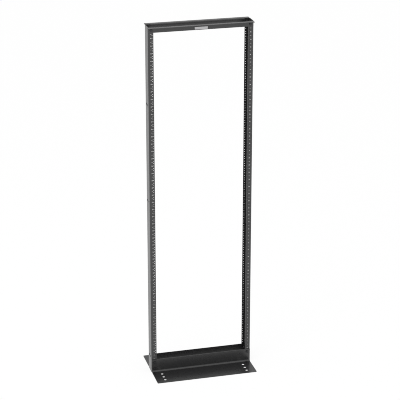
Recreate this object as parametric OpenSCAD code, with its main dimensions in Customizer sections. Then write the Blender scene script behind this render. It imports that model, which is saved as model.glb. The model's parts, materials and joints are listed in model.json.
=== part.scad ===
// Two post open frame rack: two channel posts, two base angles and two top angles, bolted together.
// X runs across the rack, the front faces -Y, Z is up, and the origin is on the floor at the centre.

/* [Rack] */
// Height from the floor to the top face
rack_h = 2132.6; // [1200:0.1:2400]
// Width over the outer faces of the two posts
rack_w = 616; // [480:1:700]

/* [Posts] */
// Depth of a post from its front face to its rear face
post_depth = 76.2; // [65:0.1:120]
// Width of a post's flanges, with the wall
post_flange = 31.8; // [30:0.1:45]
// Thickness of the post sheet
post_wall = 3; // [2:0.1:4]
// Inside radius of the post bends
post_bend = 2; // [1:0.5:4]

/* [Equipment holes] */
// Height of one rack unit
unit_h = 44.45; // [40:0.05:50]
// Distance from a unit's lower edge to its first hole
unit_first_hole = 6.35; // [5:0.05:8]
// Distance between the three holes of a unit
unit_hole_step = 15.875; // [12:0.005:17]
// Diameter of a tapped equipment hole
unit_hole_d = 5.5; // [4:0.1:8]
// Distance from a flange's free edge to its column of holes
unit_hole_inset = 7.14; // [5.5:0.01:10]
// Height of the lower edge of the first unit
units_start = 91.8; // [88:0.1:140]
// Least plain length of post above the last unit
units_top_margin = 36; // [34:1:80]

/* [Side holes] */
// Diameter of the holes through a post's web
side_hole_d = 14; // [6:0.5:16]
// Distance between the two holes of a pair
side_hole_spread = 32; // [20:1:40]
// Height of the lowest pair
side_pair_low = 98; // [92:1:200]
// Height of the middle pair
side_pair_mid = 1090; // [400:1:1100]
// Distance from the middle pair up to the highest pair
side_pair_rise = 585; // [20:1:600]

/* [Base angles] */
// Height of the upright leg
base_leg_up = 84; // [80:0.5:90]
// Distance from the outer face of a post to the end of a base angle
base_end_gap = 1.2; // [0:0.1:4]
// Reach of the floor leg from the face of the posts
base_leg_out = 155.6; // [140:0.1:220]
// Thickness of the base angles
base_wall = 3.2; // [2:0.1:5]
// Inside radius of the base angles' bend
base_bend = 11; // [3:0.5:12]
// Radius of the floor leg's free corners
base_corner = 5; // [1:0.5:20]
// Diameter of an anchor hole
anchor_d = 16; // [8:0.5:20]
// Distance from the face of the posts to the first anchor hole
anchor_first = 41; // [36:0.5:50]
// Distance between the anchor holes of a row
anchor_step = 40; // [24:0.5:42]
// Distance from the outer face of a post to the row of anchor holes
anchor_inset = 55; // [20:1:80]

/* [Top angles] */
// Distance from the outer face of a post to the end of a top angle
top_end_gap = 2; // [0:0.1:4]
// Height of the hanging leg
top_leg_down = 30.8; // [29:0.1:32]
// Reach of the flat leg from the face of the posts
top_leg_out = 28; // [20:0.1:45]
// Thickness of the top angles
top_wall = 3.2; // [2:0.1:4]
// Inside radius of the top angles' bend
top_bend = 3; // [1:0.5:4]

/* [Bolts and nuts] */
// Diameter of the bolts
bolt_d = 9.5; // [6:0.1:10]
// Clearance of the bolts in their holes, on the diameter
bolt_clearance = 0.9; // [0.4:0.1:1.5]
// Clearance between a bolt and its nut, on the diameter
nut_clearance = 0.2; // [0.1:0.1:0.4]
// Width of the bolt heads and nuts across their flats
hex_af = 14.3; // [11:0.1:15]
// Height of a bolt head
head_h = 6.2; // [3:0.1:7]
// Height of a nut
nut_h = 8.3; // [4:0.1:9]
// Height of the washer face under a head or nut
washer_face_h = 0.5; // [0.3:0.1:1]
// Length of bolt past its nut
bolt_past_nut = 3; // [1.5:0.5:6]
// Depth of the bolt thread, turned off the end that shows past the nut
bolt_thread_depth = 0.8; // [0.4:0.05:1]
// Chamfer of the bolt's end
bolt_end_chamfer = 0.8; // [0.3:0.1:1.2]
// Distance from the outer face of a post to its base bolts
base_bolt_inset = 19; // [16:0.5:22]
// Height of the lower base bolts
base_bolt_low = 24; // [22:0.5:30]
// Height of the upper base bolts
base_bolt_high = 66; // [50:0.5:70]
// Distance from the outer face of a post to its top bolts
top_bolt_inset = 19; // [16:0.5:22]
// Distance from the top face down to the top bolts
top_bolt_drop = 17; // [15:0.5:20]

/* [Name plate] */
// Width of the bare plate on the front top angle
plate_w = 86; // [40:1:160]
// Height of the plate
plate_h = 19; // [10:0.5:20]
// Thickness of the plate
plate_t = 1; // [0.5:0.1:3]
// Corner radius of the plate
plate_corner = 1.5; // [0.5:0.5:4]
// Distance from the angle's lower edge to the plate
plate_margin = 1; // [0.5:0.5:3]

/* [Hidden] */
$fn = 48;
LEFT = -1;
RIGHT = 1;
FRONT = -1;
REAR = 1;
COAT = "#2a2a2c";
STEEL = "#1d1d1f";
PLATE = "#b9babc";
EPS = 1; // how far a cutter runs past the face it opens
HOLES_PER_UNIT = 3;
ANCHORS_PER_ROW = 3;
HEX_CHAMFER = 30; // slope of the corners turned off a head or nut
HEX_FACE = 0.95;  // diameter of the flat left on it, as a share of its width
units = floor((rack_h - units_start - units_top_margin) / unit_h);
bolt_hole_d = bolt_d + bolt_clearance;
bolt_root_d = bolt_d - 2 * bolt_thread_depth;
post_face = post_depth / 2;
base_angle_w = rack_w - 2 * base_end_gap;
top_angle_w = rack_w - 2 * top_end_gap;
unit_column = post_flange - unit_hole_inset;

// Outlines ------------------------------------------------------------

// What a round corner of radius r leaves of a square corner at the origin
module corner_waste(r) {
  difference() {
    square(r);
    translate([r, r]) circle(r = r);
  }
}

// Rectangle from the origin, with the corner at the origin rounded
module bent_block(w, h, r) {
  difference() {
    square([w, h]);
    corner_waste(r);
  }
}

// Rectangle centred on Y = 0, with its two corners at X = 0 rounded
module channel_block(w, depth, r) {
  difference() {
    translate([0, -depth / 2]) square([w, depth]);
    translate([0, -depth / 2]) corner_waste(r);
    mirror([0, 1]) translate([0, -depth / 2]) corner_waste(r);
  }
}

// Section of a bent sheet angle, outer corner at the origin
module angle_outline(leg_out, leg_up, wall, bend) {
  difference() {
    bent_block(leg_out, leg_up, wall + bend);
    translate([wall, wall]) bent_block(leg_out, leg_up, bend);
  }
}

// Section of a post: web at X = 0, flanges towards +X
module channel_outline() {
  difference() {
    channel_block(post_flange, post_depth, post_wall + post_bend);
    translate([post_wall, 0])
      channel_block(post_flange, post_depth - 2 * post_wall, post_bend);
  }
}

// Cutters -------------------------------------------------------------

// Bar of diameter d along Y, long enough to pass through both flanges
module bar_through_post(d) {
  rotate([90, 0, 0]) cylinder(h = post_depth + 2 * EPS, d = d, center = true);
}

// Three holes in every unit, through the front and rear flanges
module unit_holes() {
  for (unit = [0 : units - 1], hole = [0 : HOLES_PER_UNIT - 1])
    translate([unit_column, 0, units_start + unit * unit_h + unit_first_hole + hole * unit_hole_step])
      bar_through_post(unit_hole_d);
}

// Pairs of holes through the web, at three heights
module side_holes() {
  for (z = [side_pair_low, side_pair_mid, side_pair_mid + side_pair_rise], y = [-1, 1])
    translate([0, y * side_hole_spread / 2, z])
      rotate([0, 90, 0]) cylinder(h = 2 * (post_wall + EPS), d = side_hole_d, center = true);
}

// Holes that the base and top bolts share with the angles
module post_bolt_holes() {
  for (z = [base_bolt_low, base_bolt_high])
    translate([base_bolt_inset, 0, z]) bar_through_post(bolt_hole_d);
  translate([top_bolt_inset, 0, rack_h - top_bolt_drop]) bar_through_post(bolt_hole_d);
}

// Clearance hole through an upright leg of thickness wall, on both posts
module leg_bolt_holes(inset, z, wall) {
  for (side = [LEFT, RIGHT])
    translate([side * (rack_w / 2 - inset), -post_face - wall / 2, z])
      rotate([90, 0, 0]) cylinder(h = wall + 2 * EPS, d = bolt_hole_d, center = true);
}

// Sub-parts -----------------------------------------------------------

// The left post, in its place
module left_post_shape() {
  translate([-rack_w / 2, 0, 0])
    difference() {
      linear_extrude(height = rack_h) channel_outline();
      unit_holes();
      side_holes();
      post_bolt_holes();
    }
}

module post(side) {
  color(COAT)
    if (side == LEFT) left_post_shape();
    else mirror([1, 0, 0]) left_post_shape();
}

// A row of anchor holes at each end, and rounded free corners
module floor_leg_cuts() {
  for (side = [LEFT, RIGHT], hole = [0 : ANCHORS_PER_ROW - 1])
    translate([side * (rack_w / 2 - anchor_inset), -post_face - anchor_first - hole * anchor_step, -EPS])
      cylinder(h = base_wall + 2 * EPS, d = anchor_d);
  for (side = [0, 1])
    mirror([side, 0, 0])
      translate([-base_angle_w / 2, -post_face - base_leg_out, -EPS])
        linear_extrude(height = base_wall + 2 * EPS) corner_waste(base_corner);
}

// The front base angle, in its place
module front_base_angle_shape() {
  difference() {
    translate([0, -post_face, 0])
      mirror([0, 1, 0]) rotate([90, 0, 90])
        linear_extrude(height = base_angle_w, center = true)
          angle_outline(base_leg_out, base_leg_up, base_wall, base_bend);
    floor_leg_cuts();
    leg_bolt_holes(base_bolt_inset, base_bolt_low, base_wall);
    leg_bolt_holes(base_bolt_inset, base_bolt_high, base_wall);
  }
}

module base_angle(face) {
  color(COAT)
    if (face == FRONT) front_base_angle_shape();
    else mirror([0, 1, 0]) front_base_angle_shape();
}

// The front top angle, in its place: flat leg level with the post tops, other leg hanging
module front_top_angle_shape() {
  difference() {
    translate([0, -post_face, rack_h])
      rotate([180, 0, 0]) rotate([90, 0, 90])
        linear_extrude(height = top_angle_w, center = true)
          angle_outline(top_leg_out, top_leg_down, top_wall, top_bend);
    leg_bolt_holes(top_bolt_inset, rack_h - top_bolt_drop, top_wall);
  }
}

module top_angle(face) {
  color(COAT)
    if (face == FRONT) front_top_angle_shape();
    else mirror([0, 1, 0]) front_top_angle_shape();
}

// Blank plate with round corners, flat on the hanging leg of the front top angle
module name_plate() {
  color(PLATE)
    translate([0, -post_face - top_wall, rack_h - top_leg_down + plate_margin])
      rotate([90, 0, 0])
        linear_extrude(height = plate_t)
          difference() {
            translate([-plate_w / 2, 0]) square([plate_w, plate_h]);
            for (across = [0, 1], up = [0, 1])
              mirror([across, 0]) translate([-plate_w / 2, up * plate_h])
                mirror([0, up]) corner_waste(plate_corner);
          }
}

// Fasteners -----------------------------------------------------------

// Hexagon of height h standing on Z = 0 with its top corners turned off
module hex_body(h) {
  intersection() {
    cylinder(h = h, d = hex_af / cos(30), $fn = 6);
    cylinder(h = h, r1 = HEX_FACE * hex_af / 2 + h / tan(HEX_CHAMFER), r2 = HEX_FACE * hex_af / 2);
  }
}

// Head or nut blank: a round washer face on Z = 0, then the hexagon
module hex_blank(h) {
  cylinder(h = washer_face_h, d = HEX_FACE * hex_af);
  translate([0, 0, washer_face_h]) hex_body(h - washer_face_h);
}

// Bolt with its head standing on Z = 0 and its shank below, through the grip and the nut
module bolt(grip) {
  shank = grip + nut_h;
  hex_blank(head_h);
  translate([0, 0, -shank]) cylinder(h = shank + washer_face_h, d = bolt_d);
  translate([0, 0, -shank - bolt_past_nut]) bolt_end();
}

// End of a bolt at the width of its thread's root, standing on Z = 0, which sinks into the shank above
module bolt_end() {
  end_d = bolt_root_d - 2 * bolt_end_chamfer;
  cylinder(h = bolt_end_chamfer, d1 = end_d, d2 = bolt_root_d);
  translate([0, 0, bolt_end_chamfer])
    cylinder(h = bolt_past_nut - bolt_end_chamfer + EPS, d = bolt_root_d);
}

// Nut standing under Z = -grip, its washer face against the post
module nut(grip) {
  translate([0, 0, -grip]) rotate([180, 0, 0])
    difference() {
      hex_blank(nut_h);
      translate([0, 0, -EPS]) cylinder(h = nut_h + 2 * EPS, d = bolt_d + nut_clearance);
    }
}

// Moves a fastener made along Z to the outer face of an angle, pointing outwards
module on_angle(side, face, inset, z, wall) {
  translate([side * (rack_w / 2 - inset), face * (post_face + wall), z])
    rotate([-90 * face, 0, 0]) children();
}

module base_bolt(side, face, z) {
  color(STEEL) on_angle(side, face, base_bolt_inset, z, base_wall) bolt(base_wall + post_wall);
}

module base_nut(side, face, z) {
  color(STEEL) on_angle(side, face, base_bolt_inset, z, base_wall) nut(base_wall + post_wall);
}

module top_bolt(side, face) {
  color(STEEL)
    on_angle(side, face, top_bolt_inset, rack_h - top_bolt_drop, top_wall) bolt(top_wall + post_wall);
}

module top_nut(side, face) {
  color(STEEL)
    on_angle(side, face, top_bolt_inset, rack_h - top_bolt_drop, top_wall) nut(top_wall + post_wall);
}

// Nodes ---------------------------------------------------------------

post(LEFT);  // post_left
post(RIGHT);  // post_right
base_angle(FRONT);  // base_angle_front
base_angle(REAR);  // base_angle_rear
top_angle(FRONT);  // top_angle_front
top_angle(REAR);  // top_angle_rear
name_plate();
base_bolt(LEFT, FRONT, base_bolt_low);  // base_bolt_front_left_low
base_bolt(LEFT, FRONT, base_bolt_high);  // base_bolt_front_left_high
base_bolt(RIGHT, FRONT, base_bolt_low);  // base_bolt_front_right_low
base_bolt(RIGHT, FRONT, base_bolt_high);  // base_bolt_front_right_high
base_bolt(LEFT, REAR, base_bolt_low);  // base_bolt_rear_left_low
base_bolt(LEFT, REAR, base_bolt_high);  // base_bolt_rear_left_high
base_bolt(RIGHT, REAR, base_bolt_low);  // base_bolt_rear_right_low
base_bolt(RIGHT, REAR, base_bolt_high);  // base_bolt_rear_right_high
base_nut(LEFT, FRONT, base_bolt_low);  // base_nut_front_left_low
base_nut(LEFT, FRONT, base_bolt_high);  // base_nut_front_left_high
base_nut(RIGHT, FRONT, base_bolt_low);  // base_nut_front_right_low
base_nut(RIGHT, FRONT, base_bolt_high);  // base_nut_front_right_high
base_nut(LEFT, REAR, base_bolt_low);  // base_nut_rear_left_low
base_nut(LEFT, REAR, base_bolt_high);  // base_nut_rear_left_high
base_nut(RIGHT, REAR, base_bolt_low);  // base_nut_rear_right_low
base_nut(RIGHT, REAR, base_bolt_high);  // base_nut_rear_right_high
top_bolt(LEFT, FRONT);  // top_bolt_front_left
top_bolt(RIGHT, FRONT);  // top_bolt_front_right
top_bolt(LEFT, REAR);  // top_bolt_rear_left
top_bolt(RIGHT, REAR);  // top_bolt_rear_right
top_nut(LEFT, FRONT);  // top_nut_front_left
top_nut(RIGHT, FRONT);  // top_nut_front_right
top_nut(LEFT, REAR);  // top_nut_rear_left
top_nut(RIGHT, REAR);  // top_nut_rear_right
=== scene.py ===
# %% [markdown]
# # A two post open frame rack
# This lesson dresses a steel equipment rack: two channel posts, two base angles, two top angles, and the
# bolts that hold them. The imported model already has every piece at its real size, so it is loaded as a
# fixed frame. What is added here is what the solids leave out: the coating, the printed unit numbers and
# lines, the threads, and the face of the bare name plate.

# %% Load the frame
import json
import math
import bmesh
import bpy
from mathutils import Matrix, Vector


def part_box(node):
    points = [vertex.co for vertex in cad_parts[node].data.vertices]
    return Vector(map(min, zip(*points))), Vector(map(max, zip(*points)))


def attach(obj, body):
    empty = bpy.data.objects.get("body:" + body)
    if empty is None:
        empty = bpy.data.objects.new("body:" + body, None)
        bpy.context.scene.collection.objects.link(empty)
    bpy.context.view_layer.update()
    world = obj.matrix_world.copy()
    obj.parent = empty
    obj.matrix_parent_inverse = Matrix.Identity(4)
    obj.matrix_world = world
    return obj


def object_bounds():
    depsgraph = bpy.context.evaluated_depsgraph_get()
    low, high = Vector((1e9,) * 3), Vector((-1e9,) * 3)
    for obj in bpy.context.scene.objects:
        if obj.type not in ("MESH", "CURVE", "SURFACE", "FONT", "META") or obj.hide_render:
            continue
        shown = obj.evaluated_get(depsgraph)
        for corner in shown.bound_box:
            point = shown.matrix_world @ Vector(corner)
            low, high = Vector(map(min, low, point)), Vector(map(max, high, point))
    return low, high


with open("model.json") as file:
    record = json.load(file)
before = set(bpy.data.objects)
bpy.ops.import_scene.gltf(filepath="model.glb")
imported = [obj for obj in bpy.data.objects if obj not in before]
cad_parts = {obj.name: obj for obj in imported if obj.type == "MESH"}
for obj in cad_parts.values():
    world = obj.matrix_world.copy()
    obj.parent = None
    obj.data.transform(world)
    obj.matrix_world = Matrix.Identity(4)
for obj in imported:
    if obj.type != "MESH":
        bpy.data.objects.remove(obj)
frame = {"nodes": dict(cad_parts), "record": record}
cad_box = [list(corner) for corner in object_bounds()]
record = frame["record"]
MM = 0.001
INCH = 25.4 * MM
print("nodes:", len(frame["nodes"]), "box:", cad_box)

# %% [markdown]
# ## Camera
# A long lens far away keeps the posts nearly parallel, as in a catalogue picture. The camera looks at the
# middle of the rack from a little to the left and from above. Its place is worked out from two angles
# and a distance, which is easier to change than three coordinates and a rotation.

# %% Camera
CAMERA_TURN = math.radians(14.80)
CAMERA_RISE = math.radians(20.36)
CAMERA_DISTANCE = 9.52
CAMERA_LENS = 146.0
CAMERA_SENSOR = 36
CAMERA_REACH = 100
AIM_RIGHT = 3.4 * MM
AIM_DOWN = 1.1 * MM

low, high = (Vector(corner) for corner in cad_box)
target = (low + high) / 2 + Vector((AIM_RIGHT, 0, -AIM_DOWN))
away = Vector((-math.sin(CAMERA_TURN) * math.cos(CAMERA_RISE),
               -math.cos(CAMERA_TURN) * math.cos(CAMERA_RISE),
               math.sin(CAMERA_RISE)))
camera_data = bpy.data.cameras.new("camera")
camera_data.lens = CAMERA_LENS
camera_data.sensor_width = CAMERA_SENSOR
camera_data.clip_end = CAMERA_REACH
camera = bpy.data.objects.new("camera", camera_data)
camera.location = target + away * CAMERA_DISTANCE
camera.rotation_euler = (-away).to_track_quat("-Z", "Y").to_euler()
bpy.context.scene.collection.objects.link(camera)
bpy.context.scene.camera = camera
bpy.context.scene.view_settings.view_transform = "Standard"
print("camera at", [round(value, 3) for value in camera.location])

# %% [markdown]
# ## Sharpness
# The equipment holes are tiny beside a rack over two metres tall. A soft film filter would smear the white
# seen through them into the black around them, and the denoiser would take them for noise. A narrower
# filter and unfiltered guide passes keep each hole as a point of its own.

# %% Sharpness
FILM_FILTER = 1.0

cycles = bpy.context.scene.cycles
cycles.filter_width = FILM_FILTER
cycles.denoising_prefilter = "NONE"
print("film filter", FILM_FILTER)

# %% [markdown]
# ## Node helpers
# The room, the floor and every finish are small trees of shader nodes. Two helpers keep them short: one
# adds a node with its values set, the other maps a value from one range to another.

# %% Node helpers
def node(tree, kind, **values):
    """Adds a node of that kind and sets its input sockets by name."""
    new = tree.nodes.new(kind)
    for name, value in values.items():
        new.inputs[name.replace("_", " ")].default_value = value
    return new


def ranged(tree, value, start, end, at_start, at_end, steps="LINEAR"):
    """Maps a value that runs from a start to an end, by what it becomes at each of them."""
    mapped = node(tree, "ShaderNodeMapRange", From_Min=start, From_Max=end, To_Min=at_start, To_Max=at_end)
    mapped.interpolation_type = steps
    tree.links.new(value, mapped.inputs["Value"])
    return mapped.outputs["Result"]


# %% [markdown]
# ## Room
# A black glossy coat shows mostly what surrounds it, so the surroundings matter more than the lamps. A
# white room gives the web its grey sheen at a flat angle and leaves the faces near black. Level faces
# mirror what stands behind the rack, so a greyer wall there keeps them darker than the webs. It could be
# a real plane, but a gradient in the world costs nothing and has no edge. The wall's foot and top are
# angles above the horizon. Towards the back, where Y grows, it fades in between two values of Y.

# %% Room
WALL_SHADE = 0.6
WALL_FOOT = 8
WALL_TOP = 34
WALL_BLEND = 6
WALL_FADE_FROM = 0.1
WALL_FADE_TO = 0.5


def ramp(tree, value, start, end):
    """0 below the start, 1 above the end, and a soft step between."""
    return ranged(tree, value, start, end, 0.0, 1.0, "SMOOTHSTEP")


def product(tree, first, second):
    """Multiplies two values."""
    times = tree.nodes.new("ShaderNodeMath")
    times.operation = "MULTIPLY"
    tree.links.new(first, times.inputs[0])
    tree.links.new(second, times.inputs[1])
    return times.outputs[0]


def height_of(degrees):
    """The Z of a direction that rises so many degrees above the horizon."""
    return math.sin(math.radians(degrees))


world = bpy.data.worlds.new("white_room")
world.use_nodes = True
bpy.context.scene.world = world
tree = world.node_tree
tree.nodes.clear()
direction = node(tree, "ShaderNodeSeparateXYZ")
tree.links.new(node(tree, "ShaderNodeTexCoord").outputs["Generated"], direction.inputs["Vector"])
above_foot = ramp(tree, direction.outputs["Z"], height_of(WALL_FOOT), height_of(WALL_FOOT + WALL_BLEND))
below_top = ramp(tree, direction.outputs["Z"], height_of(WALL_TOP), height_of(WALL_TOP - WALL_BLEND))
behind = ramp(tree, direction.outputs["Y"], WALL_FADE_FROM, WALL_FADE_TO)
wall = product(tree, product(tree, above_foot, below_top), behind)
background = node(tree, "ShaderNodeBackground", Color=(1, 1, 1, 1))
output = node(tree, "ShaderNodeOutputWorld")
tree.links.new(ranged(tree, wall, 0.0, 1.0, 1.0, WALL_SHADE), background.inputs["Strength"])
tree.links.new(background.outputs[0], output.inputs["Surface"])
print("room wall at", WALL_SHADE, "of white")

# %% [markdown]
# ## Lamp
# One large soft lamp from the upper left adds a faint direction to the even light of the room, and a soft
# shadow at the feet.

# %% Lamp
LAMP_SIZE = 3.0
LAMP_POWER = 60
LAMP_PLACE = (-3.2, -3.0, 4.6)

lamp_data = bpy.data.lights.new("softbox", "AREA")
lamp_data.shape = "SQUARE"
lamp_data.size = LAMP_SIZE
lamp_data.energy = LAMP_POWER
lamp = bpy.data.objects.new("softbox", lamp_data)
lamp.location = LAMP_PLACE
lamp.rotation_euler = (target - lamp.location).to_track_quat("-Z", "Y").to_euler()
bpy.context.scene.collection.objects.link(lamp)
print("lamp power", LAMP_POWER)

# %% [markdown]
# ## Floor
# The floor is white paper that runs on without an edge. Bare paper would show a horizon and a grey pool
# around the rack, so the camera, gloss and glass see mostly a white glow, and only a share of the matte
# paper with its shadow. The light that falls on the rack from below comes from the paper alone. The
# renderer would look for the glow among the lamps as well, find it dark and dim its reflections, so the
# floor is left out of that search.

# %% Floor
FLOOR_REACH = 40
FLOOR_WHITE = 0.98
FLOOR_SHADOW = 0.12


def sees_glow(tree):
    """1 for rays from the camera, off gloss and through glass, and 0 for rays off a matte surface."""
    path = node(tree, "ShaderNodeLightPath")
    seen = path.outputs["Is Camera Ray"]
    for ray in ("Is Glossy Ray", "Is Transmission Ray"):
        either = tree.nodes.new("ShaderNodeMath")
        either.operation = "MAXIMUM"
        tree.links.new(seen, either.inputs[0])
        tree.links.new(path.outputs[ray], either.inputs[1])
        seen = either.outputs[0]
    return seen


mesh = bpy.data.meshes.new("floor")
shape = bmesh.new()
bmesh.ops.create_grid(shape, x_segments=1, y_segments=1, size=FLOOR_REACH)
bmesh.ops.translate(shape, verts=shape.verts, vec=(0, 0, low.z))
shape.to_mesh(mesh)
shape.free()
floor = bpy.data.objects.new("floor", mesh)
bpy.context.scene.collection.objects.link(floor)

material = bpy.data.materials.new("pale_floor")
material.use_nodes = True
tree = material.node_tree
tree.nodes.clear()
matte = node(tree, "ShaderNodeBsdfDiffuse", Color=(FLOOR_WHITE, FLOOR_WHITE, FLOOR_WHITE, 1))
glow = node(tree, "ShaderNodeEmission", Color=(1, 1, 1, 1), Strength=1.0)
blend = node(tree, "ShaderNodeMixShader")
output = node(tree, "ShaderNodeOutputMaterial")
tree.links.new(ranged(tree, sees_glow(tree), 0.0, 1.0, 0.0, 1 - FLOOR_SHADOW), blend.inputs["Fac"])
tree.links.new(matte.outputs[0], blend.inputs[1])
tree.links.new(glow.outputs[0], blend.inputs[2])
tree.links.new(blend.outputs[0], output.inputs["Surface"])
material.cycles.emission_sampling = "NONE"
floor.data.materials.append(material)
print("floor at", low.z)

# %% [markdown]
# ## What the finishes share
# Every finish is one Principled shader. Patterns of noise drive its colour, its roughness and a bump, each
# through a helper below, so that a finish reads as a list of what it looks like. The patterns lie on Object
# coordinates, in metres, so the grain is the same size on every piece. A value that is the same all over
# stays on the shader's own socket.

# %% What the finishes share
def new_material(name, **values):
    """An empty material with a Principled shader, its coordinates and its output."""
    made = bpy.data.materials.new(name)
    made.use_nodes = True
    tree = made.node_tree
    tree.nodes.clear()
    shader = node(tree, "ShaderNodeBsdfPrincipled", **values)
    output = node(tree, "ShaderNodeOutputMaterial")
    tree.links.new(shader.outputs["BSDF"], output.inputs["Surface"])
    coordinates = node(tree, "ShaderNodeTexCoord").outputs["Object"]
    return made, tree, shader, coordinates


def noise(tree, coordinates, scale, detail, roughness=0.5):
    """A noise pattern with so many waves a metre, from 0 to 1."""
    pattern = node(tree, "ShaderNodeTexNoise", Scale=scale, Detail=detail, Roughness=roughness)
    tree.links.new(coordinates, pattern.inputs["Vector"])
    return pattern.outputs["Fac"]


def colour_by(tree, shader, pattern, dark, light):
    """Lets a pattern blend two colours."""
    tint = tree.nodes.new("ShaderNodeMix")
    tint.data_type = "RGBA"
    tint.inputs["A"].default_value = (*dark, 1)
    tint.inputs["B"].default_value = (*light, 1)
    tree.links.new(pattern, tint.inputs["Factor"])
    tree.links.new(tint.outputs["Result"], shader.inputs["Base Color"])


def roughen_by(tree, shader, pattern, smooth, rough):
    """Lets a pattern vary the roughness between two values."""
    tree.links.new(ranged(tree, pattern, 0.0, 1.0, smooth, rough), shader.inputs["Roughness"])


def raise_by(tree, shader, pattern, strength, depth):
    """Lets a pattern raise the surface, on top of a bump that the shader may have already."""
    bump = node(tree, "ShaderNodeBump", Strength=strength, Distance=depth)
    tree.links.new(pattern, bump.inputs["Height"])
    for link in shader.inputs["Normal"].links:
        tree.links.new(link.from_socket, bump.inputs["Normal"])
    tree.links.new(bump.outputs["Normal"], shader.inputs["Normal"])


# %% [markdown]
# ## Powder coat
# The frame is coated with black powder, baked until it flows. It is nearly black in itself, with a low
# gloss and a fine skin like orange peel, on which lies a grain that is finer still. A painted texture could
# hold all that, but noise has no seams on pieces two metres long.

# %% Powder coat
COAT_IOR = 1.66


def powder_coat():
    """Black powder coat with orange peel skin and a fine grain."""
    made, tree, shader, coordinates = new_material("black_powder_coat", IOR=COAT_IOR)
    mottle = noise(tree, coordinates, scale=9, detail=4)
    sheen = noise(tree, coordinates, scale=60, detail=3)
    skin = noise(tree, coordinates, scale=450, detail=3)
    grain = noise(tree, coordinates, scale=2200, detail=2)
    colour_by(tree, shader, mottle, dark=(0.012, 0.012, 0.0125), light=(0.018, 0.018, 0.0185))
    roughen_by(tree, shader, sheen, smooth=0.24, rough=0.34)
    raise_by(tree, shader, skin, strength=0.2, depth=0.2 * MM)
    raise_by(tree, shader, grain, strength=0.1, depth=0.1 * MM)
    return made


coat = powder_coat()
print("made", coat.name)

# %% [markdown]
# ## Black oxide steel
# The bolts and nuts are blackened steel, a thin dark film over metal. It is a metal shader with a dark
# colour, so it is darker than the coat where it is matte and still shows a small bright edge. Streaks of
# oil make it a little uneven.

# %% Black oxide steel
def black_oxide():
    """Blackened steel with faint oily streaks."""
    made, tree, shader, coordinates = new_material("black_oxide_steel", Metallic=0.85)
    streaks = noise(tree, coordinates, scale=180, detail=4)
    sheen = noise(tree, coordinates, scale=500, detail=3)
    grain = noise(tree, coordinates, scale=1500, detail=2)
    colour_by(tree, shader, streaks, dark=(0.030, 0.030, 0.032), light=(0.062, 0.062, 0.065))
    roughen_by(tree, shader, sheen, smooth=0.32, rough=0.5)
    raise_by(tree, shader, grain, strength=0.2, depth=0.05 * MM)
    return made


oxide = black_oxide()
print("made", oxide.name)

# %% [markdown]
# ## The frame's own solids
# The record says which finish each solid wears, so the solids take it from there. Only their materials
# change. The name plate is black here too: what shows of it is its border.

# %% The frame's own solids
slots = {entry["node"]: entry["material_slot"] for entry in record["subparts"]}
finishes = {"coated_steel": coat, "fasteners": oxide, "plate": coat}
for name, piece in frame["nodes"].items():
    piece.data.materials.clear()
    piece.data.materials.append(finishes[slots[name]])
print("dressed", len(frame["nodes"]), "solids")

# %% [markdown]
# ## The unit pattern
# Equipment is mounted by the unit, 44.45 mm of height, with three holes a unit in each flange. The record
# states where the first and the last unit's holes are, so the pitch, the columns of holes and the middle of
# every unit follow from it, and nothing has to be measured again.

# %% The unit pattern
mounts = {mount["name"]: mount for mount in record["mounts"]}
first, last = mounts["front_unit_1"], mounts["front_unit_45"]
UNITS = 45
SIDES = ((-1, "left"), (1, "right"))
unit_pitch = (last["pos_m"][2] - first["pos_m"][2]) / (UNITS - 1)
hole_column = first["dims"]["spacing_x_mm"] * MM / 2
hole_step = first["dims"]["spacing_y_mm"] * MM / 2
hole_radius = first["dims"]["hole_r_mm"] * MM
post_low, post_high = (Vector(corner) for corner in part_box("post_left"))
front_face, rear_face = post_low.y, post_high.y
flange_wall = 2 * abs(front_face - first["pos_m"][1])
flange_edge = -post_high.x
unit_middles = [first["pos_m"][2] + unit_pitch * unit for unit in range(UNITS)]
print("unit pitch", round(unit_pitch, 5), "hole column", round(hole_column, 5), "wall", round(flange_wall, 5))

# %% [markdown]
# ## Helpers for small pieces
# A rack has hundreds of threads and dozens of printed figures. Each small shape is made once as a mesh,
# and a loop drops copies of it into one larger mesh, so that a whole column is a single object. Printed
# lines and the plate's face are both thin sheets with rounded corners, so they share one function.

# %% Helpers for small pieces
def finished_mesh(shape, name):
    """Turns a bmesh into a mesh and frees it."""
    mesh = bpy.data.meshes.new(name)
    shape.to_mesh(mesh)
    shape.free()
    return mesh


def drop_copy(shape, mesh, matrix):
    """Adds a copy of a mesh to a bmesh, moved by a matrix."""
    before = len(shape.verts)
    shape.from_mesh(mesh)
    shape.verts.ensure_lookup_table()
    bmesh.ops.transform(shape, matrix=matrix, verts=shape.verts[before:])


def add_piece(shape, name, material):
    """Makes a finished piece of a bmesh: an object at the origin, riding on the rack."""
    piece = bpy.data.objects.new(name, finished_mesh(shape, name))
    piece.data.materials.append(material)
    bpy.context.scene.collection.objects.link(piece)
    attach(piece, "root")
    print(name, len(piece.data.polygons), "faces")


def rounded_sheet(wide, thick, tall, corner, segments):
    """A sheet with rounded corners that faces the front, centred on the origin."""
    shape = bmesh.new()
    bmesh.ops.create_cube(shape, size=1, matrix=Matrix.Diagonal((wide, thick, tall, 1)))
    through = [edge for edge in shape.edges if abs(edge.verts[0].co.y - edge.verts[1].co.y) > thick / 2]
    bmesh.ops.bevel(shape, geom=through, offset=corner, segments=segments, profile=0.5,
                    affect="EDGES", material=-1)
    return shape


# %% [markdown]
# ## Printing ink
# The figures beside the holes are screen printed: a thin opaque film with a flat finish, a little uneven
# where the coat's grain shows through.

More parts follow.
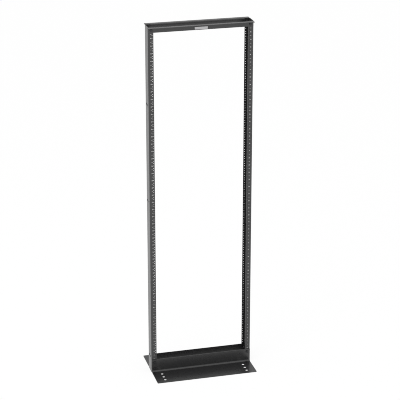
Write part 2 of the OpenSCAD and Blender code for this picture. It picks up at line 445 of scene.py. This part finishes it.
# %% Printing ink
def printing_ink():
    """A thin flat off-white ink film."""
    made, tree, shader, coordinates = new_material("printed_white_ink")
    cover = noise(tree, coordinates, scale=900, detail=4)
    sheen = noise(tree, coordinates, scale=400, detail=2)
    grain = noise(tree, coordinates, scale=2200, detail=2)
    colour_by(tree, shader, cover, dark=(0.54, 0.54, 0.53), light=(0.66, 0.66, 0.65))
    roughen_by(tree, shader, sheen, smooth=0.45, rough=0.65)
    raise_by(tree, shader, grain, strength=0.15, depth=0.03 * MM)
    return made


ink = printing_ink()
print("made", ink.name)

# %% [markdown]
# ## Unit numbers
# Installers count units by the plain numbers printed on the front of each flange, from 1 at the floor.
# They could be a texture, but then they would blur in a close view. Text made into a thin closed mesh stays
# sharp, and it can be sized by its real height. Screen printing leaves bold strokes, so the outline of every
# figure is grown by the offset that a text curve has for this, and the text size leaves room for it. Where
# three points of an outline lie on one line, the fill leaves a triangle without area. Dissolving the longest
# edge of such a sliver joins it to its neighbour.

# %% Unit numbers
NUMBER_HEIGHT = 5.7 * MM
NUMBER_WEIGHT = 0.15 * MM
NUMBER_INSET = 15.0 * MM
NUMBER_CURVE_STEPS = 2
INK_FILM = 0.06 * MM
SAME_PLACE = 0.001 * MM
SLIVER_AREA = 1e-6 * MM ** 2

upright = Matrix.Rotation(math.radians(90), 3, "X")


def printed_text(words, height, figure_share=1.0):
    """A thin closed mesh of some figures, upright, facing the front and centred on the origin."""
    curve = bpy.data.curves.new("figures", "FONT")
    curve.body = words
    curve.size = (height - 2 * NUMBER_WEIGHT) / figure_share
    curve.resolution_u = NUMBER_CURVE_STEPS
    curve.extrude = INK_FILM
    curve.offset = NUMBER_WEIGHT
    curve.align_x = "CENTER"
    curve.align_y = "CENTER"
    holder = bpy.data.objects.new("figures", curve)
    shape = bmesh.new()
    shape.from_mesh(holder.to_mesh())
    holder.to_mesh_clear()
    bpy.data.objects.remove(holder)
    bpy.data.curves.remove(curve)
    bmesh.ops.remove_doubles(shape, verts=shape.verts, dist=SAME_PLACE)
    slivers = [face for face in shape.faces if face.calc_area() < SLIVER_AREA]
    longest = {max(face.edges, key=lambda edge: edge.calc_length()) for face in slivers}
    bmesh.ops.dissolve_edges(shape, edges=list(longest))
    bmesh.ops.recalc_face_normals(shape, faces=shape.faces)
    bmesh.ops.rotate(shape, verts=shape.verts, cent=(0, 0, 0), matrix=upright)
    heights = [vert.co.z for vert in shape.verts]
    bmesh.ops.translate(shape, verts=shape.verts, vec=(0, 0, -(min(heights) + max(heights)) / 2))
    return finished_mesh(shape, "figures")


metre_tall = [vert.co.z for vert in printed_text("8", 1.0).vertices]
figure_share = max(metre_tall) - min(metre_tall)
print("figure height as a share of the text size", round(figure_share, 3))

for side, name in SIDES:
    shape = bmesh.new()
    for unit, middle in enumerate(unit_middles, start=1):
        place = (side * (flange_edge + NUMBER_INSET), front_face, middle)
        drop_copy(shape, printed_text(str(unit), NUMBER_HEIGHT, figure_share), Matrix.Translation(place))
    add_piece(shape, f"unit_numbers_{name}", ink)

# %% [markdown]
# ## Unit lines
# A short printed line marks where one unit ends and the next begins. One line is a flat sheet with
# rounded ends, raised by the thickness of the ink, and it is repeated up both flanges.

# %% Unit lines
LINE_LENGTH = 7 * MM
LINE_HEIGHT = 1.3 * MM
LINE_CORNER = 0.45 * LINE_HEIGHT
LINE_CORNER_STEPS = 3

sheet = rounded_sheet(LINE_LENGTH, 2 * INK_FILM, LINE_HEIGHT, LINE_CORNER, LINE_CORNER_STEPS)
line = finished_mesh(sheet, "line")
boundaries = [middle - unit_pitch / 2 for middle in unit_middles] + [unit_middles[-1] + unit_pitch / 2]
for side, name in SIDES:
    shape = bmesh.new()
    for boundary in boundaries:
        place = (side * (flange_edge + NUMBER_INSET), front_face, boundary)
        drop_copy(shape, line, Matrix.Translation(place))
    add_piece(shape, f"unit_lines_{name}", ink)

# %% [markdown]
# ## Cut steel
# A tap cuts through the coat, so the threads in the holes are bare steel with a little oil on it. A little of
# their darkness is that oil, and most of it is painted shade for the inside of the hole, where a light grey
# metal would sparkle.

# %% Cut steel
def tapped_steel():
    """Cut and oiled steel inside the holes, its colour darkened further by painted shade of the hole."""
    made, tree, shader, coordinates = new_material("tapped_steel", Metallic=0.9)
    oil = noise(tree, coordinates, scale=700, detail=3)
    sheen = noise(tree, coordinates, scale=1200, detail=2)
    # Both colours hold painted shade for the inside of the holes and are far darker than oiled steel itself.
    colour_by(tree, shader, oil, dark=(0.045, 0.045, 0.048), light=(0.10, 0.10, 0.105))
    roughen_by(tree, shader, sheen, smooth=0.3, rough=0.5)
    return made


thread_steel_painted_shade = tapped_steel()
print("made", thread_steel_painted_shade.name)

# %% [markdown]
# ## Winding a thread
# A thread is a small triangle carried around a screw's axis while it climbs along it, which is what a spin
# with a step along its axis makes. The holes and the bolts both need one. A hole's triangle points inwards
# and a bolt's outwards, which is only a matter of which radius is the larger.

# %% Winding a thread
def wind_ridge(shape, foot_radius, tip_radius, foot_width, pitch, turns, steps, start):
    """Winds a triangular ridge around Y from a starting place, and returns its last points."""
    corners = [shape.verts.new((radius, start + along, 0)) for radius, along in
               ((foot_radius, -foot_width / 2), (tip_radius, 0), (foot_radius, foot_width / 2))]
    profile = shape.faces.new(corners)
    wound = bmesh.ops.spin(shape, geom=[profile], cent=(0, 0, 0), axis=(0, 1, 0), angle=2 * math.pi * turns,
                           steps=steps, dvec=(0, turns * pitch / steps, 0), use_duplicate=False)
    return [item for item in wound["geom_last"] if isinstance(item, bmesh.types.BMVert)]


# %% [markdown]
# ## Tapped threads
# Every equipment hole is tapped for a number 12 screw, 24 turns to the inch. The solids keep the hole
# plain at the full width of the screw, and the thread's ridge is added here. It is wound longer than the
# wall is thick, cut off just inside both faces and closed again there, as a tap leaves it. The ridge narrows
# the way through, so less light shows through the holes. Seven steps a turn look round enough in a hole of
# this size, and they keep a shape that is repeated 540 times light.

# %% Tapped threads
THREAD_PITCH = INCH / 24
THREAD_DEPTH = 0.6 * MM
THREAD_FOOT = 0.84 * THREAD_PITCH
THREAD_STEPS = 7
THREAD_SUNK = 0.02 * MM
FACE_GAP = 0.01 * MM
CUT_TOLERANCE = 0.0001 * MM


def cut_flat(shape, place, outwards):
    """Cuts off what lies past a plane across Y, and closes the cut."""
    everything = shape.verts[:] + shape.edges[:] + shape.faces[:]
    cut = bmesh.ops.bisect_plane(shape, geom=everything, dist=CUT_TOLERANCE, plane_co=(0, place, 0),
                                 plane_no=(0, outwards, 0), clear_outer=True)
    rim = [item for item in cut["geom_cut"] if isinstance(item, bmesh.types.BMEdge)]
    bmesh.ops.edgeloop_fill(shape, edges=rim)


def thread_in_hole():
    """The ridge of one tapped hole, along Y and centred on the origin."""
    shape = bmesh.new()
    turns = flange_wall / THREAD_PITCH + 1
    foot = hole_radius + THREAD_SUNK
    wind_ridge(shape, foot, foot - THREAD_DEPTH, THREAD_FOOT, THREAD_PITCH, turns,
               round(turns * THREAD_STEPS), -turns * THREAD_PITCH / 2)
    for outwards in (-1, 1):
        cut_flat(shape, outwards * (flange_wall / 2 - FACE_GAP), outwards)
    bmesh.ops.recalc_face_normals(shape, faces=shape.faces)
    return finished_mesh(shape, "thread")


thread = thread_in_hole()
flange_middles = {"front": front_face + flange_wall / 2, "rear": rear_face - flange_wall / 2}
for depth_name, depth in flange_middles.items():
    for side, name in SIDES:
        shape = bmesh.new()
        for middle in unit_middles:
            for step in (-hole_step, 0, hole_step):
                drop_copy(shape, thread, Matrix.Translation((side * hole_column, depth, middle + step)))
        add_piece(shape, f"threads_{depth_name}_{name}", thread_steel_painted_shade)

# %% [markdown]
# ## Bolt threads
# Past its nut a bolt shows about two turns of thread, 16 to the inch. The solid ends at the width of the
# thread's root, so a ridge is wound around it in the same way as in the holes, from just inside the nut
# to the chamfer. Its last point is lowered to the root, as a real thread runs out at the end of the bolt.

# %% Bolt threads
BOLT_THREAD_PITCH = INCH / 16
BOLT_ROOT = 3.95 * MM
BOLT_CREST = 4.7 * MM
BOLT_CHAMFER = 0.8 * MM
BOLT_THREAD_FOOT = 0.9 * BOLT_THREAD_PITCH
BOLT_THREAD_SUNK = 0.05 * MM
BOLT_THREAD_TURNS = 2
BOLT_THREAD_STEPS = 24


def thread_on_bolt():
    """The ridge on a bolt's end, along Y, with its last turn ending at the origin."""
    shape = bmesh.new()
    ends = wind_ridge(shape, BOLT_ROOT - BOLT_THREAD_SUNK, BOLT_CREST, BOLT_THREAD_FOOT, BOLT_THREAD_PITCH,
                      BOLT_THREAD_TURNS, BOLT_THREAD_TURNS * BOLT_THREAD_STEPS,
                      -BOLT_THREAD_TURNS * BOLT_THREAD_PITCH)
    crest = max(ends, key=lambda vert: math.hypot(vert.co.x, vert.co.z))
    bmesh.ops.scale(shape, verts=[crest], vec=(BOLT_ROOT / BOLT_CREST, 1, BOLT_ROOT / BOLT_CREST))
    bmesh.ops.recalc_face_normals(shape, faces=shape.faces)
    return finished_mesh(shape, "bolt_thread")


bolt_thread = thread_on_bolt()
half_turn = Matrix.Rotation(math.pi, 4, "Z")
shape = bmesh.new()
for name in frame["nodes"]:
    if "_bolt_" in name:
        bolt_low, bolt_high = (Vector(corner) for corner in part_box(name))
        place = (bolt_low + bolt_high) / 2
        in_front = place.y < 0
        place.y = bolt_high.y - BOLT_CHAMFER if in_front else bolt_low.y + BOLT_CHAMFER
        turned = Matrix.Identity(4) if in_front else half_turn
        drop_copy(shape, bolt_thread, Matrix.Translation(place) @ turned)
add_piece(shape, "bolt_threads", oxide)

# %% [markdown]
# ## Satin metal
# The plate's face is aluminium, brushed along its length. Brushing is noise that is stretched far along X,
# and it drives the colour, the roughness and the bump alike, because all three come from the same scratches.

# %% Satin metal
def satin_metal():
    """Satin aluminium brushed along X."""
    made, tree, shader, coordinates = new_material("satin_metal_face", Metallic=1.0)
    stretched = node(tree, "ShaderNodeMapping", Scale=(12, 900, 900))
    tree.links.new(coordinates, stretched.inputs["Vector"])
    scratches = noise(tree, stretched.outputs["Vector"], scale=1.6, detail=4, roughness=0.6)
    colour_by(tree, shader, scratches, dark=(0.42, 0.42, 0.42), light=(0.52, 0.52, 0.53))
    roughen_by(tree, shader, scratches, smooth=0.3, rough=0.45)
    raise_by(tree, shader, scratches, strength=0.1, depth=0.03 * MM)
    return made


satin = satin_metal()
print("made", satin.name)

# %% [markdown]
# ## Name plate face
# The plate at the top is bare: a black border around a satin metal face with no words on it. The face is a
# thin sheet with rounded corners and a soft edge, laid on the solid plate. It could be a second material on
# the plate itself, but the solids stay whole, and a film of its own is how such plates are made.

# %% Name plate face
PLATE_BORDER_SIDE = 5 * MM
PLATE_BORDER_TOP = 2.5 * MM
FACE_FILM = 0.15 * MM
FACE_CORNER = 1.2 * MM
FACE_CORNER_STEPS = 6
FACE_RIM = 0.6 * FACE_FILM
FACE_RIM_STEPS = 2

plate_low, plate_high = (Vector(corner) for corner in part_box("name_plate"))
middle = (plate_low + plate_high) / 2
wide = plate_high.x - plate_low.x - 2 * PLATE_BORDER_SIDE
tall = plate_high.z - plate_low.z - 2 * PLATE_BORDER_TOP
shape = rounded_sheet(wide, 2 * FACE_FILM, tall, FACE_CORNER, FACE_CORNER_STEPS)
rim = [edge for edge in shape.edges if all(vert.co.y < 0 for vert in edge.verts)]
bmesh.ops.bevel(shape, geom=rim, offset=FACE_RIM, segments=FACE_RIM_STEPS, profile=0.5,
                affect="EDGES", material=-1)
bmesh.ops.translate(shape, verts=shape.verts, vec=(middle.x, plate_low.y, middle.z))
add_piece(shape, "name_plate_face", satin)
